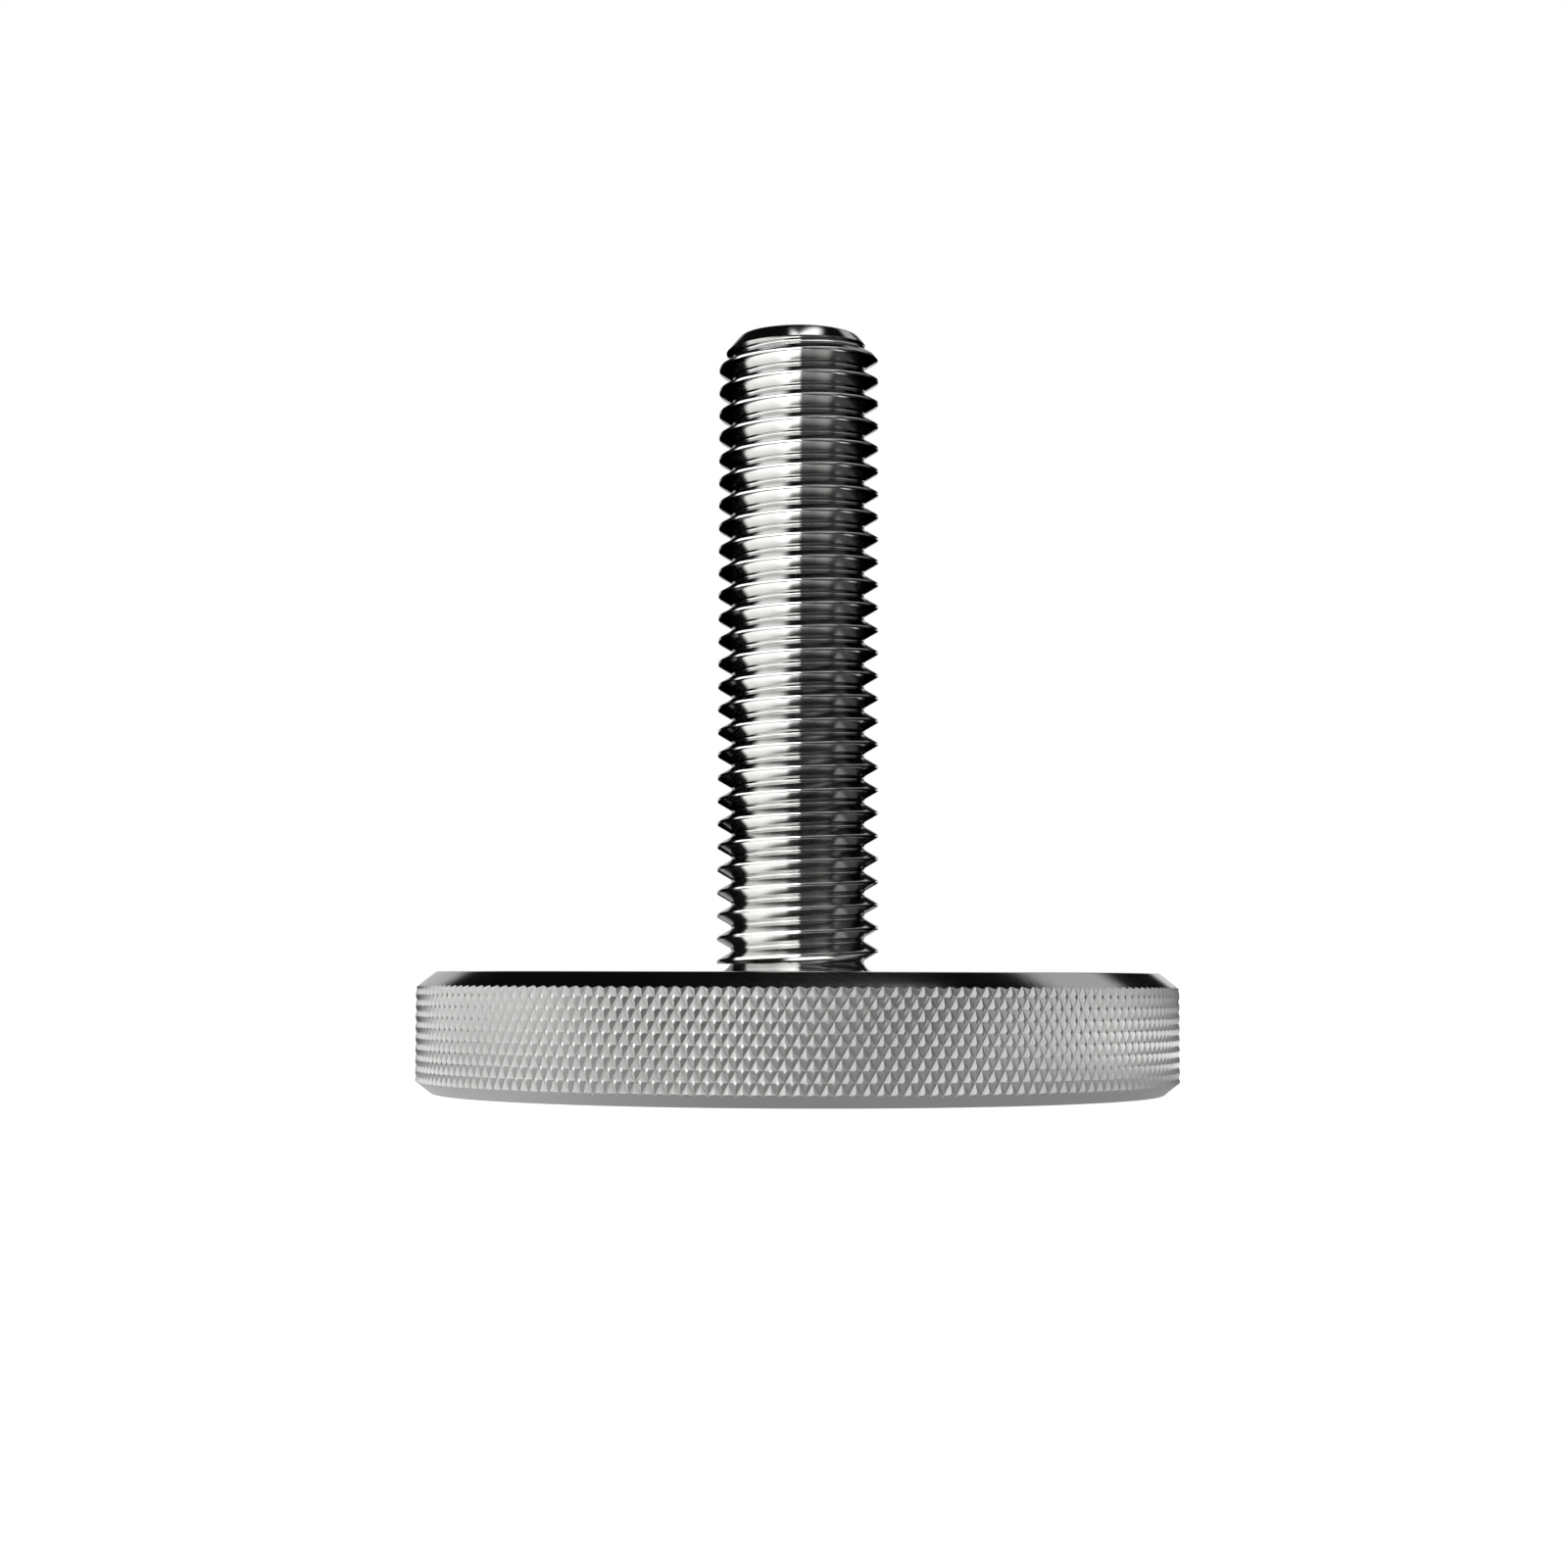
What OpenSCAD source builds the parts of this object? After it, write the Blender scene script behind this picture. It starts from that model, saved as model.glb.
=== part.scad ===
// Knurled thumb screw, turned from one piece of bar: a wide, thin disc head with a
// diamond-knurled rim, and a shank that is threaded up to the head and bevelled at its tip.
// It stands on its head: the outer face of the head lies on z = 0 and the tip points up.
// All sizes are in millimetres.

/* [Head] */
// Diameter of the head over the points of the knurl
head_d = 29.8; // [24:0.1:36]
// Thickness of the head, from its outer face to its bearing face
head_h = 4.7; // [3.6:0.05:7]
// Width of the bevel round the bearing face, measured inwards
bearing_bevel_w = 0.78; // [0.4:0.02:1.4]
// Width of the bevel round the outer face, measured inwards
outer_bevel_w = 0.62; // [0.4:0.02:1.4]
// Slope of both bevels, from the axis
bevel_angle = 52; // [40:1:65]

/* [Knurl] */
// Diamonds in each row round the rim
knurl_n = 120; // [60:1:130]
// Height of one diamond
diamond_h = 0.84; // [0.8:0.01:1.4]
// Depth of the grooves between the diamonds
knurl_depth = 0.12; // [0.08:0.01:0.3]

/* [Thread] */
// Diameter over the crests of the thread
thread_d = 6.35; // [5.5:0.05:7.5]
// Turns of the thread in one inch of shank
threads_per_inch = 28; // [24:1:32]
// Length of the shank, from the bearing face to the tip
shank_l = 25.4; // [12:0.1:32]
// Height above the bearing face of the crest that starts on the left of the screw
crest_start = 0.41; // [0.4:0.01:0.8]

/* [Tip] */
// Diameter of the flat end of the tip
tip_d = 4.6; // [2.5:0.1:4.8]
// Slope of the bevel at the tip, from the axis
tip_angle = 40; // [30:1:60]

/* [Neck] */
// How far the plain neck under the thread is turned down below the root of the thread
neck_undercut = 0.05; // [0.04:0.01:0.4]
// Height of the neck below the first turn of the thread
neck_h = 0.34; // [0.2:0.02:1.2]
// Radius of the fillet where the neck meets the head
neck_fillet = 0.62; // [0.3:0.02:0.9]

/* [Hidden] */
$fn = 96;

head_r = head_d / 2;
thread_r = thread_d / 2;
tip_r = tip_d / 2;

// A unified thread form: flanks at 30 degrees, a flat crest and a narrow flat root.
pitch = 25.4 / threads_per_inch;
flank = tan(30);
crest_w = pitch / 8;
root_w = pitch / 6;
thread_depth = (pitch - crest_w - root_w) / 2 / flank;
root_r = thread_r - thread_depth;
neck_r = root_r - neck_undercut;

// Steps of the helix in one turn. Its flanks run out to a sharp edge, which the turned bar cuts flat.
steps = 24;
sharp_r = thread_r + crest_w / 2 / flank;

// How far one solid runs on past another before they are cut or joined.
past = 0.3;

tip_z = head_h + shank_l;
thread_z = head_h + neck_h;
tip_bevel_h = (thread_r - tip_r) / tan(tip_angle);

// A point at radius r, angle a and height z.
function polar(r, a, z) = [r * cos(a), r * sin(a), z];

// A rod with the thread cut along it, from below z0 to above z1. Each step of the helix has three
// points: the foot of the lower flank, the sharp edge, and the foot of the upper flank.
module threaded_rod(z0, z1, crest_z) {
    low = floor((z0 - crest_z) / pitch) - 2;
    high = ceil((z1 - crest_z) / pitch) + 2;
    n = (high - low) * steps;
    half_ridge = (pitch - root_w) / 2;
    section = [[root_r, -half_ridge], [sharp_r, 0], [root_r, half_ridge]];
    start = crest_z + low * pitch;
    helix = [
        for (i = [0:n], p = section)
            polar(p[0], 180 + i * 360 / steps, start + i * pitch / steps + p[1])
    ];
    ends = [[0, 0, start], [0, 0, start + n * pitch / steps]];
    bottom = len(helix);
    top = bottom + 1;
    flanks = [
        for (i = [0:n - 1], j = [0:1])
            let (a = 3 * i + j, b = a + 3)
            each [[a, a + 1, b], [b, a + 1, b + 1]]
    ];
    roots = [
        for (i = [0:n - steps - 1])
            let (a = 3 * i + 2, b = 3 * (i + steps))
            each [[a, b, a + 3], [a + 3, b, b + 3]]
    ];
    bottom_cap = [
        for (i = [0:steps - 1]) [bottom, 3 * i, 3 * i + 3],
        [bottom, 3 * steps, 2],
        for (j = [0:1]) [bottom, j + 1, j]
    ];
    last = 3 * n;
    first = 3 * (n - steps) + 2;
    top_cap = [
        for (i = [0:steps - 1]) [top, first + 3 * i + 3, first + 3 * i],
        [top, first, last],
        for (j = [0:1]) [top, last + j, last + j + 1]
    ];
    polyhedron(concat(helix, ends), concat(flanks, roots, bottom_cap, top_cap));
}

// A drum whose wall is a lattice of four-sided points: two sets of grooves run round it, one to
// each hand. Odd places in the lattice are the points and even places the crossings of the grooves.
module knurled_drum(r, h) {
    rows = 2 * ceil((h + past) / diamond_h);
    z0 = (h - rows * diamond_h / 2) / 2;
    around = 2 * knurl_n;
    wall = [
        for (j = [0:rows], i = [0:around - 1])
            polar((i + j) % 2 == 1 ? r : r - knurl_depth, i * 360 / around, z0 + j * diamond_h / 2)
    ];
    bottom = len(wall);
    top = bottom + 1;
    function at(i, j) = j * around + (i + around) % around;
    faces = [
        for (j = [0:rows], i = [0:around - 1]) if ((i + j) % 2 == 1)
            let (c = at(i, j), east = at(i + 1, j), west = at(i - 1, j))
            each concat(
                j < rows ? [[c, at(i, j + 1), east], [c, west, at(i, j + 1)]] : [],
                j > 0 ? [[c, east, at(i, j - 1)], [c, at(i, j - 1), west]] : []
            )
    ];
    caps = [
        for (i = [0:around - 1])
            each [
                [bottom, at(i, 0), at(i + 1, 0)],
                [top, at(i + 1, rows), at(i, rows)]
            ]
    ];
    ends = [[0, 0, z0], [0, 0, z0 + rows * diamond_h / 2]];
    polyhedron(concat(wall, ends), concat(faces, caps));
}

// The head: a knurled disc, with a bevel turned off round both of its faces.
module head() {
    outer_end = (outer_bevel_w + past) / tan(bevel_angle);
    bearing_end = (bearing_bevel_w + past) / tan(bevel_angle);
    intersection() {
        rotate_extrude()
            polygon([
                [0, 0],
                [head_r - outer_bevel_w, 0],
                [head_r + past, outer_end],
                [head_r + past, head_h - bearing_end],
                [head_r - bearing_bevel_w, head_h],
                [0, head_h]
            ]);
        knurled_drum(head_r, head_h);
    }
}

// The neck: a plain turned groove under the thread, with a fillet at its foot.
module neck() {
    translate([0, 0, head_h])
        rotate_extrude()
            difference() {
                translate([0, -past])
                    square([neck_r + neck_fillet, past + neck_h + past]);
                translate([neck_r + neck_fillet, neck_fillet])
                    circle(neck_fillet);
                translate([neck_r, neck_fillet])
                    square([neck_fillet + past, neck_h + past]);
            }
}

// The threaded shank: a bevelled bar with the thread cut into it.
module shank() {
    intersection() {
        rotate_extrude()
            polygon([
                [0, thread_z],
                [thread_r, thread_z],
                [thread_r, tip_z - tip_bevel_h],
                [tip_r, tip_z],
                [0, tip_z]
            ]);
        threaded_rod(thread_z, tip_z, head_h + crest_start);
    }
}

module screw() {
    color([0.78, 0.78, 0.77]) {
        union() {
            head();
            neck();
            shank();
        }
    }
}

screw();
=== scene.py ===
from math import acos, pi, radians, tan

import bmesh
import bpy
from mathutils import Euler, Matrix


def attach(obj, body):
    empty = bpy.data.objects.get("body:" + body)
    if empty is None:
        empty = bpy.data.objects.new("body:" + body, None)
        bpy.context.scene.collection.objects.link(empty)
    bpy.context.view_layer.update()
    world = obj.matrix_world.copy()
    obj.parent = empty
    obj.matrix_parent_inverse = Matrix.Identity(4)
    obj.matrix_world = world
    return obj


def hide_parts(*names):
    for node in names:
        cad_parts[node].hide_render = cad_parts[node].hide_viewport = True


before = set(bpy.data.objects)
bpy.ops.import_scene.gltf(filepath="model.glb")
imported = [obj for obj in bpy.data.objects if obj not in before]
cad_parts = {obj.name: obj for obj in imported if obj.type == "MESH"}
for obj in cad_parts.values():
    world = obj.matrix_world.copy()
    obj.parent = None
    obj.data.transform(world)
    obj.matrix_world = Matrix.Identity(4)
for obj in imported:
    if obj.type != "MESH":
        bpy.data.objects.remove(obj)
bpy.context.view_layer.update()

# The bar. One length of bright stainless bar is turned to a wide, thin disc with both faces bevelled,
# a short neck with a fillet at its foot, and a shank with a bevelled tip. Lengths are in millimetres.
# The disc and the shank are left a little fat, because the knurl and the thread are cut into them next.
mm = 0.001
head_r = 14.9
head_h = 4.7
head_stock = 0.3
bearing_bevel = 0.78
outer_bevel = 0.62
bevel_slope = radians(52)
edge_break = 0.05

thread_r = 3.175
turns_per_inch = 28
pitch = 25.4 / turns_per_inch
crest_w = pitch / 8
root_w = pitch / 6
flank_slope = radians(30)
root_r = thread_r - (pitch - crest_w - root_w) / 2 / tan(flank_slope)
shank_stock = 0.02
land_r = thread_r + shank_stock
shank_l = 25.4

neck_undercut = 0.05
neck_r = root_r - neck_undercut
neck_h = 0.34
foot_fillet = 0.62
thread_z = head_h + neck_h

tip_z = head_h + shank_l
tip_r = 2.3
tip_slope = radians(40)
tip_round = 0.16

bar_steps = 258
same_point = 0.0005

bar = bmesh.new()
foot = bar.verts.new((neck_r + foot_fillet, 0, head_h))
bmesh.ops.spin(
    bar,
    geom=[foot],
    cent=(neck_r + foot_fillet, 0, head_h + foot_fillet),
    axis=(0, 1, 0),
    angle=acos(1 - neck_h / foot_fillet),
    steps=8,
)
neck_top = max(bar.verts, key=lambda v: v.co.z)


def turn_on(start, corners):
    last = start
    made = []
    for r, z in corners:
        vert = bar.verts.new((r, 0, z))
        bar.edges.new((last, vert))
        made.append(vert)
        last = vert
    return made


shank_corners = turn_on(
    neck_top,
    [
        (land_r, thread_z),
        (land_r, tip_z - (land_r - tip_r) / tan(tip_slope)),
        (tip_r, tip_z),
        (0, tip_z),
    ],
)
head_corners = turn_on(
    foot,
    [
        (head_r - bearing_bevel, head_h),
        (head_r + head_stock, head_h - (bearing_bevel + head_stock) / tan(bevel_slope)),
        (head_r + head_stock, (outer_bevel + head_stock) / tan(bevel_slope)),
        (head_r - outer_bevel, 0),
        (0, 0),
    ],
)
broken_edges = (
    (head_corners[0], edge_break),
    (head_corners[3], edge_break),
    (shank_corners[2], tip_round),
)
for corner, offset in broken_edges:
    bmesh.ops.bevel(
        bar, geom=[corner], affect="VERTICES", offset=offset, segments=4, profile=0.5, material=-1
    )
bmesh.ops.spin(
    bar,
    geom=bar.verts[:] + bar.edges[:],
    axis=(0, 0, 1),
    angle=2 * pi,
    steps=bar_steps,
    use_merge=True,
)
bmesh.ops.remove_doubles(bar, verts=bar.verts, dist=same_point)
bmesh.ops.recalc_face_normals(bar, faces=bar.faces)

# The turned faces keep the fine rings that the tool leaves, and the faint smears of being handled.
# The rings follow the distance from the axis on the flat faces, and the height on the neck.
turning = bpy.data.node_groups.new("turning_marks", "ShaderNodeTree")
turning.interface.new_socket("Position", in_out="INPUT", socket_type="NodeSocketVector")
turning.interface.new_socket("Rings", in_out="OUTPUT", socket_type="NodeSocketFloat")
turning.interface.new_socket("Radius", in_out="OUTPUT", socket_type="NodeSocketFloat")
turning.interface.new_socket("Smears", in_out="OUTPUT", socket_type="NodeSocketFloat")


def add_node(tree, kind, links=(), **values):
    node = tree.nodes.new(kind)
    for name, value in values.items():
        setattr(node, name, value)
    for socket, source in links:
        if hasattr(source, "is_output"):
            tree.links.new(source, node.inputs[socket])
        else:
            node.inputs[socket].default_value = source
    return node


group_in = add_node(turning, "NodeGroupInput")
flat_place = add_node(
    turning,
    "ShaderNodeVectorMath",
    [(0, group_in.outputs["Position"]), (1, (1, 1, 0))],
    operation="MULTIPLY",
)
radius = add_node(turning, "ShaderNodeVectorMath", [(0, flat_place.outputs[0])], operation="LENGTH")
height = add_node(turning, "ShaderNodeSeparateXYZ", [(0, group_in.outputs["Position"])])
along = add_node(
    turning,
    "ShaderNodeMath",
    [(0, height.outputs["Z"]), (1, 0.7), (2, radius.outputs["Value"])],
    operation="MULTIPLY_ADD",
)
rings = add_node(
    turning,
    "ShaderNodeTexNoise",
    [("W", along.outputs[0]), ("Scale", 9000), ("Detail", 3), ("Roughness", 0.6)],
    noise_dimensions="1D",
)
smears = add_node(
    turning,
    "ShaderNodeTexNoise",
    [("Vector", group_in.outputs["Position"]), ("Scale", 260), ("Detail", 4), ("Distortion", 0.6)],
)
add_node(
    turning,
    "NodeGroupOutput",
    [
        ("Rings", rings.outputs[0]),
        ("Radius", radius.outputs["Value"]),
        ("Smears", smears.outputs[0]),
    ],
)


def new_steel(name):
    steel = bpy.data.materials.new(name)
    steel.use_nodes = True
    nodes = steel.node_tree.nodes
    nodes["Principled BSDF"].inputs["Metallic"].default_value = 1
    place = add_node(steel.node_tree, "ShaderNodeTexCoord")
    marks = add_node(
        steel.node_tree,
        "ShaderNodeGroup",
        [("Position", place.outputs["Object"])],
        node_tree=turning,
    )
    return steel, marks.outputs


def spread(steel, value, low, high, first, last):
    return add_node(
        steel.node_tree,
        "ShaderNodeMapRange",
        [("Value", value), ("From Min", low), ("From Max", high), ("To Min", first), ("To Max", last)],
    ).outputs[0]


def finish_steel(steel, mask, first_tone, last_tone, roughness):
    tree = steel.node_tree
    shader = tree.nodes["Principled BSDF"]
    tone = add_node(
        tree,
        "ShaderNodeMix",
        [("Factor", mask), (6, (*first_tone, 1)), (7, (*last_tone, 1))],
        data_type="RGBA",
    )
    tree.links.new(tone.outputs[2], shader.inputs["Base Color"])
    tree.links.new(roughness, shader.inputs["Roughness"])


dark_steel = (0.6, 0.6, 0.59)
bright_steel = (0.7, 0.7, 0.69)
faint_smear = 0.3
full_smear = 0.7
polished = 0.09
handled = 0.14

turned, marks = new_steel("turned_steel")
gloss = spread(turned, marks["Smears"], faint_smear, full_smear, polished, handled)
finish_steel(turned, marks["Smears"], dark_steel, bright_steel, gloss)
lines = add_node(
    turned.node_tree,
    "ShaderNodeBump",
    [("Height", marks["Rings"]), ("Strength", 0.12), ("Distance", 0.00001)],
)
turned.node_tree.links.new(
    lines.outputs[0], turned.node_tree.nodes["Principled BSDF"].inputs["Normal"]
)

# The knurl. Two crossed sets of fine grooves are rolled into the rim for grip, at 30 degrees to the
# axis. They leave rows of small tall points with blunt tips, and each row is half a step round from
# the next.
diamonds_around = 192
diamond_h = 0.84
diamond_rows = 7
knurl_depth = 0.12
groove_r = head_r - knurl_depth
step = 2 * pi / diamonds_around
widths_and_rises = ((0.025, 0.01), (0.12, 0.09), (0.04, 0.03))

rim = bmesh.new()
for side, up in ((0, 0), (0.5, 0.5)):
    corners = [
        rim.verts.new((groove_r, 0, (up - 0.5) * diamond_h)),
        rim.verts.new((groove_r, 0, up * diamond_h)),
        rim.verts.new((groove_r, 0, (up + 0.5) * diamond_h)),
        rim.verts.new((groove_r, 0, up * diamond_h)),
    ]
    for vert, shift in zip(corners, (side, side + 0.5, side, side - 0.5)):
        spot = vert.co.copy()
        spot.rotate(Euler((0, 0, shift * step)))
        vert.co = spot
    rim.faces.new(corners)
points = rim.faces[:]
for width, rise in widths_and_rises:
    bmesh.ops.inset_individual(rim, faces=points, thickness=width, depth=rise, use_even_offset=True)
bmesh.ops.spin(
    rim,
    geom=rim.verts[:] + rim.edges[:] + rim.faces[:],
    axis=(0, 0, 1),
    angle=2 * pi - step,
    steps=diamonds_around - 1,
    use_duplicate=True,
)
row = rim.verts[:] + rim.edges[:] + rim.faces[:]
for above in range(1, diamond_rows):
    copied = bmesh.ops.duplicate(rim, geom=row)["geom"]
    bmesh.ops.translate(
        rim,
        verts=[part for part in copied if isinstance(part, bmesh.types.BMVert)],
        vec=(0, 0, above * diamond_h),
    )
bmesh.ops.remove_doubles(rim, verts=rim.verts, dist=4 * same_point)
bmesh.ops.translate(
    rim, verts=rim.verts, vec=(0, 0, (head_h - (diamond_rows - 0.5) * diamond_h) / 2)
)

# The drum of the knurl runs on below the head, and above it to where the thread starts.
below_head = -1
open_edges = [edge for edge in rim.edges if edge.is_boundary]
ends = bmesh.ops.extrude_edge_only(rim, edges=open_edges)["geom"]
for vert in ends:
    if isinstance(vert, bmesh.types.BMVert):
        vert.co.z = below_head if vert.co.z < head_h / 2 else thread_z
bmesh.ops.holes_fill(rim, edges=[edge for edge in rim.edges if edge.is_boundary])
bmesh.ops.recalc_face_normals(rim, faces=rim.faces)
for face in rim.faces:
    face.material_index = 1

# The grooves of the knurl get a darker colour than its tips, a painted shade in the grooves, and a
# rougher finish, while fingers keep the tips glossy.
shaded_groove_tone = (0.55, 0.55, 0.54)
tip_tone = (0.68, 0.68, 0.67)
groove_roughness = 0.45
tip_roughness = 0.36

knurled, marks = new_steel("knurled_steel")
painted_groove_shade = spread(knurled, marks["Radius"], groove_r * mm, head_r * mm, 0, 1)
gloss = spread(knurled, painted_groove_shade, 0, 1, groove_roughness, tip_roughness)
finish_steel(knurled, painted_groove_shade, shaded_groove_tone, tip_tone, gloss)

# The thread. A V-shaped groove is cut round the shank as a right-hand helix, up to the neck. Its crests
# are narrow flats and its roots are rounded. One comb of teeth is swept once round and up by one pitch.
turn_steps = 96
half_ridge = (pitch - root_w) / 2
half_crest = crest_w / 2
crest_start = 0.41
first_tooth = -2
last_tooth = 30
root_round = 0.06
crest_round = 0.02
close_by = 0.01

thread = bmesh.new()
comb = []
for tooth in range(first_tooth, last_tooth):
    middle = head_h + crest_start + tooth * pitch
    for r, z in (
        (root_r, middle - half_ridge),
        (thread_r, middle - half_crest),
        (thread_r, middle + half_crest),
        (root_r, middle + half_ridge),
    ):
        comb.append(thread.verts.new((-r, 0, z)))
for lower, upper in zip(comb, comb[1:]):
    thread.edges.new((lower, upper))
roots = [vert for vert in comb[1:-1] if vert.co.x > -root_r - close_by]
crests = [vert for vert in comb[1:-1] if vert.co.x < -thread_r + close_by]
bmesh.ops.bevel(
    thread,
    geom=roots,
    affect="VERTICES",
    offset=root_round,
    segments=3,
    profile=0.5,
    material=-1,
)
bmesh.ops.bevel(
    thread,
    geom=[vert for vert in crests if vert.is_valid],
    affect="VERTICES",
    offset=crest_round,
    segments=2,
    profile=0.5,
    material=-1,
)
bmesh.ops.spin(
    thread,
    geom=thread.verts[:] + thread.edges[:],
    axis=(0, 0, 1),
    dvec=(0, 0, pitch / turn_steps),
    angle=2 * pi,
    steps=turn_steps,
)
bmesh.ops.remove_doubles(thread, verts=thread.verts, dist=same_point)
bmesh.ops.holes_fill(thread, edges=[edge for edge in thread.edges if edge.is_boundary])
bmesh.ops.recalc_face_normals(thread, faces=thread.faces)
for face in thread.faces:
    face.material_index = 2

# The colour runs from darker at the roots to lighter at the crests: a painted shade in the grooves of
# the thread.
shaded_root_tone = (0.53, 0.53, 0.52)
crest_tone = (0.74, 0.74, 0.73)

threaded, marks = new_steel("threaded_steel")
painted_groove_shade = spread(threaded, marks["Radius"], root_r * mm, thread_r * mm, 0, 1)
gloss = spread(threaded, marks["Smears"], faint_smear, full_smear, polished, handled)
finish_steel(threaded, painted_groove_shade, shaded_root_tone, crest_tone, gloss)

# The screw. The knurl and the thread are cut into the bar, and the tool marks, the painted shade in the
# knurl's grooves and the painted shade in the thread's roots each keep their own finish. It is one
# solid piece, so it stands for the whole CAD solid.
sharp_edge = radians(26)

shapes = {}
for name, mesh in (("bar", bar), ("rim", rim), ("thread", thread)):
    bmesh.ops.scale(mesh, verts=mesh.verts, vec=(mm, mm, mm))
    data = bpy.data.meshes.new(name)
    mesh.to_mesh(data)
    mesh.free()
    for finish in (turned, knurled, threaded):
        data.materials.append(finish)
    shapes[name] = bpy.data.objects.new(name, data)
    bpy.context.collection.objects.link(shapes[name])
for whole, tool, operation in (("rim", "thread", "UNION"), ("bar", "rim", "INTERSECT")):
    cut = shapes[whole].modifiers.new(operation.lower(), "BOOLEAN")
    cut.object = shapes[tool]
    cut.operation = operation
    cut.solver = "MANIFOLD"
    cut.material_mode = "INDEX"
view = bpy.context.evaluated_depsgraph_get()
screw_mesh = bpy.data.meshes.new_from_object(shapes["bar"].evaluated_get(view))
for shape in shapes.values():
    bpy.data.objects.remove(shape)
screw_mesh.name = "screw"
screw = bpy.data.objects.new("thumb_screw", screw_mesh)
bpy.context.collection.objects.link(screw)

finished = bmesh.new()
finished.from_mesh(screw_mesh)
for face in finished.faces:
    face.smooth = True
for edge in finished.edges:
    edge.smooth = edge.calc_face_angle(pi) < sharp_edge
finished.to_mesh(screw_mesh)
finished.free()
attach(screw, "root")
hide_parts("screw")

# The floor is a plain white sheet. The camera sees it as white, with a faint shadow where the head
# stands on it. The metal sees painted light on it instead of the light that falls on it: a painted ring
# of light round the head, brightest on the right, a painted shade under the head's edge, the painted
# patch of the window's light on the left, and a faint painted light far out on the right.
floor_half_size = 3
floor_gap = 0.00002
paper_tone = (0.8, 0.8, 0.8, 1)
paper_glow = 0.85
white = (1, 1, 1, 1)

sheet = bmesh.new()
bmesh.ops.create_grid(sheet, x_segments=1, y_segments=1, size=floor_half_size)
bmesh.ops.translate(sheet, verts=sheet.verts, vec=(0, 0, -floor_gap))
floor_mesh = bpy.data.meshes.new("floor")
sheet.to_mesh(floor_mesh)
sheet.free()
floor = bpy.data.objects.new("floor", floor_mesh)
bpy.context.collection.objects.link(floor)
paper = bpy.data.materials.new("white_paper")
paper.use_nodes = True
tree = paper.node_tree
tree.nodes.remove(tree.nodes["Principled BSDF"])


def calc(operation, *values):
    return add_node(
        tree, "ShaderNodeMath", list(enumerate(values)), operation=operation
    ).outputs[0]


def fade(value, start, end):
    return add_node(
        tree,
        "ShaderNodeMapRange",
        [("Value", value), ("From Min", start), ("From Max", end), ("To Min", 0), ("To Max", 1)],
        interpolation_type="SMOOTHSTEP",
    ).outputs[0]


def between(value, low, high, soft):
    return calc(
        "MULTIPLY", fade(value, low - soft, low + soft), fade(value, high + soft, high - soft)
    )


def product(*values):
    total = values[0]
    for value in values[1:]:
        total = calc("MULTIPLY", total, value)
    return total


def level(base, *raised):
    total = base
    for mask, more in raised:
        total = calc("MULTIPLY_ADD", mask, more, total)
    return total


def brightest(first, *lights):
    total = first
    for light in lights:
        total = calc("MAXIMUM", total, light)
    return total


# Reach is the distance from the axis in metres. Turn is the way round it in degrees, from the
# camera's side to the right.
place = add_node(tree, "ShaderNodeTexCoord")
spot = add_node(tree, "ShaderNodeSeparateXYZ", [(0, place.outputs["Object"])])
across, away = spot.outputs["X"], spot.outputs["Y"]
reach = calc("SQRT", calc("MULTIPLY_ADD", across, across, calc("MULTIPLY", away, away)))
turn = calc("DEGREES", calc("ARCTAN2", across, calc("MULTIPLY", away, -1)))
to_right = calc("DIVIDE", across, reach)
right = fade(to_right, 0.1, 0.8)
left = fade(to_right, -0.1, -0.8)
behind = fade(calc("ABSOLUTE", turn), 110, 150)
clear_of_head = fade(reach, 0.0163, 0.0183)
near_head = fade(reach, 0.0245, 0.017)
far_out = fade(reach, 0.026, 0.04)
# Painted light and painted shade on the floor, seen only in the metal's reflections: ring, shade under
# the head, window patch, far light.
painted_light_ring = product(level(0.16, (behind, 0.25), (right, 1.95)), clear_of_head, near_head)
painted_shade_under_head = product(level(0.33, (left, 0.2)), calc("SUBTRACT", 1.0, clear_of_head))
painted_patch_strength = level(0.85, (fade(reach, 0.02, 0.028), 0.85), (fade(reach, 0.045, 0.065), -1.1))
painted_window_patch = product(between(turn, -75, -22, 10), clear_of_head, painted_patch_strength)
painted_far_light = product(between(turn, 0, 90, 10), far_out, 0.07)
painted_floor_light = brightest(calc("ADD", painted_light_ring, painted_shade_under_head), painted_window_patch, painted_far_light)
# The painted floor light is an emission that glossy rays see in place of the lit sheet.
painted_floor_glow = add_node(tree, "ShaderNodeEmission", [("Color", white), ("Strength", painted_floor_light)])
path = add_node(tree, "ShaderNodeLightPath")
matt = add_node(tree, "ShaderNodeBsdfDiffuse", [("Color", paper_tone)])
shine = product(path.outputs["Is Camera Ray"], paper_glow)
glow = add_node(tree, "ShaderNodeEmission", [("Color", white), ("Strength", shine)])
seen_floor = add_node(tree, "ShaderNodeAddShader", [(0, matt.outputs[0]), (1, glow.outputs[0])])
shown = add_node(
    tree,
    "ShaderNodeMixShader",
    [(0, path.outputs["Is Glossy Ray"]), (1, seen_floor.outputs[0]), (2, painted_floor_glow.outputs[0])],
)
tree.links.new(shown.outputs[0], tree.nodes["Material Output"].inputs["Surface"])
floor_mesh.materials.append(paper)

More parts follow.
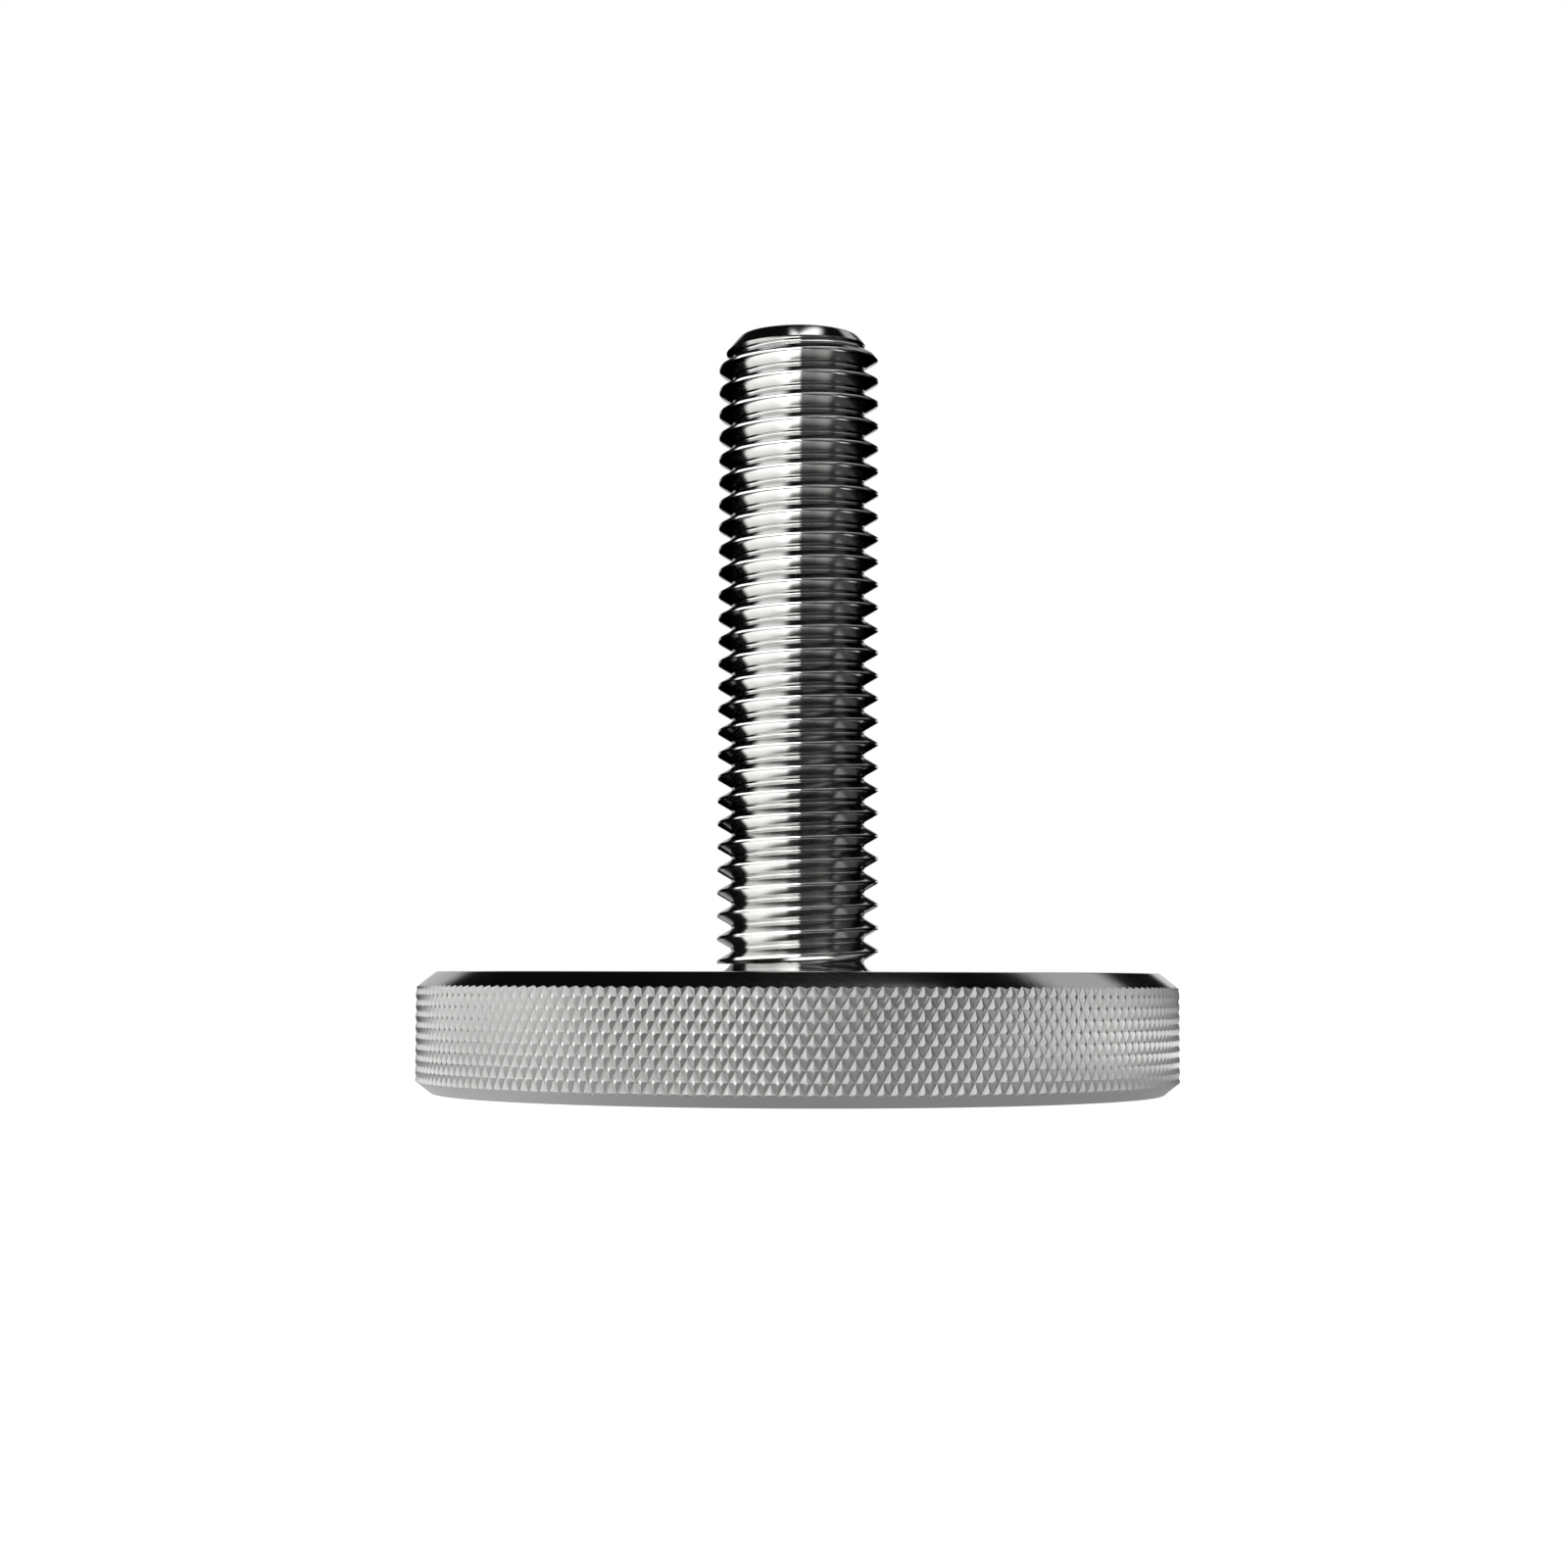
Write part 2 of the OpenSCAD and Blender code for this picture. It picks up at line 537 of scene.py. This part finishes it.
# The studio. A low window stands on the left, a large soft box hangs over the camera to the right, and
# a small lamp hangs overhead. Dimmer lamps stand at both sides and behind, in front of a pale wall, and
# a dim grey wall runs along the right. Height is in degrees, and a light's last value is its strength.
studio = bpy.data.worlds.new("studio")
bpy.context.scene.world = studio
studio.use_nodes = True
tree = studio.node_tree
tree.nodes.clear()
place = add_node(tree, "ShaderNodeTexCoord")
way = add_node(tree, "ShaderNodeSeparateXYZ", [(0, place.outputs["Generated"])])
across, away, up = way.outputs["X"], way.outputs["Y"], way.outputs["Z"]
turn = calc("DEGREES", calc("ARCTAN2", across, calc("MULTIPLY", away, -1)))
height = calc("DEGREES", calc("ARCSINE", up))
window_light = level(2.0, (fade(turn, -85, -65), 0.25), (fade(turn, -45, -12), 1.7))
window_top = level(height, (fade(turn, -10, -24), -5.0))
window = product(fade(turn, -106, -96), fade(turn, 4.5, 0), fade(window_top, 25, 17), window_light)
box_height = level(height, (turn, 0.13))
soft_box = product(fade(turn, -32, -4), fade(turn, 89, 60), between(box_height, 43, 70, 4), 2.8)
lamp_rim = level(height, (away, 30.0))
lamp_back = level(away, (calc("ABSOLUTE", across), -0.8))
overhead = product(
    fade(lamp_rim, 64, 72), fade(lamp_back, 0.1, 0.02), between(across, -0.1, 0.27, 0.05), 1.8
)
lamp_foot = level(height, (turn, -0.167))
right_lamp = product(between(turn, 70, 160, 5), fade(lamp_foot, 2, 8), fade(height, 50, 44), 0.5)
right_light = level(0.08, (between(turn, 32, 55, 8), 0.15), (fade(turn, 62, 48), 0.22))
right_wall = product(between(turn, 5, 125, 8), between(height, 8, 22, 4), right_light, 1.35)
left_lamp = product(between(turn, -126, -92, 8), between(height, 24, 44, 5), 0.12)
rear_lamp = product(fade(calc("ABSOLUTE", turn), 164, 170), between(height, 24, 48, 5), 1.2)
wall_top = level(height, (across, 25.0))
wall_light = level(0.6, (across, 0.3))
rear_wall = product(fade(away, 0.83, 0.9), fade(wall_top, 21, 15), wall_light)
dark_room = 0.004
room = brightest(
    dark_room, window, soft_box, overhead, right_lamp, right_wall, left_lamp, rear_lamp, rear_wall
)
path = add_node(tree, "ShaderNodeLightPath")
shown = add_node(
    tree, "ShaderNodeMix", [("Factor", path.outputs["Is Camera Ray"]), (2, room), (3, 1.0)]
)
sky = add_node(tree, "ShaderNodeBackground", [("Color", white), ("Strength", shown.outputs[0])])
add_node(tree, "ShaderNodeOutputWorld", [("Surface", sky.outputs[0])])

# The camera stands close to the floor in front of the screw and looks up a little.
eye = bpy.data.cameras.new("eye")
eye.lens = 65
eye.sensor_width = 36
eye.clip_start = 0.005
camera = bpy.data.objects.new("camera", eye)
camera.location = (-0.00053, -0.1118, 0.00435)
camera.rotation_euler = (radians(93.99), radians(-0.16), 0)
bpy.context.collection.objects.link(camera)
bpy.context.scene.camera = camera
bpy.context.scene.view_settings.view_transform = "Standard"
